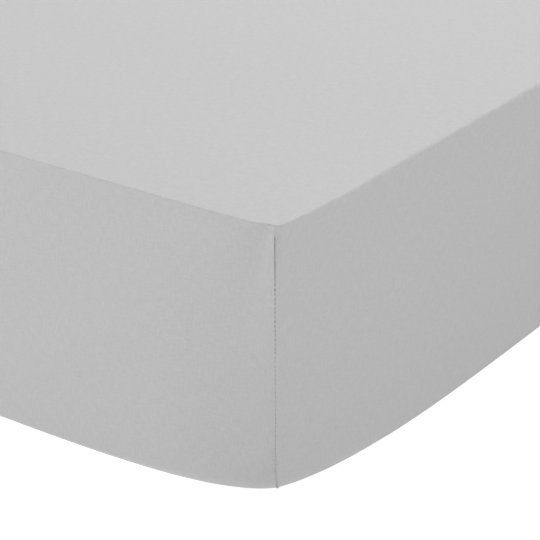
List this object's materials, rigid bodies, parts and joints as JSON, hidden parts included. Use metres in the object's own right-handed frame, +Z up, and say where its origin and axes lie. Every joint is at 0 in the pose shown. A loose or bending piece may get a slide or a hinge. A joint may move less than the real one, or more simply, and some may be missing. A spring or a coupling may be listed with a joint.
{
  "type": "fitted sheet on mattress",
  "caption": "Single fitted sheet stretched taut over a plain mattress, with upright sewn corner seams and a hem drawn under all round.",
  "frame": {"origin": "on the floor under the middle of the mattress", "axes": "+X across the width, +Y along the length from the foot end to the head end, +Z up"},
  "size_m": [0.9036, 1.9036, 0.2536],
  "materials": {
    "sheet_cotton": "matt plain-woven cotton in light grey",
    "mattress_ticking": "matt off-white twill ticking"
  },
  "bodies": {
    "root": {"fitted_sheet": "sheet_cotton", "mattress": "mattress_ticking"}
  },
  "joints": []
}
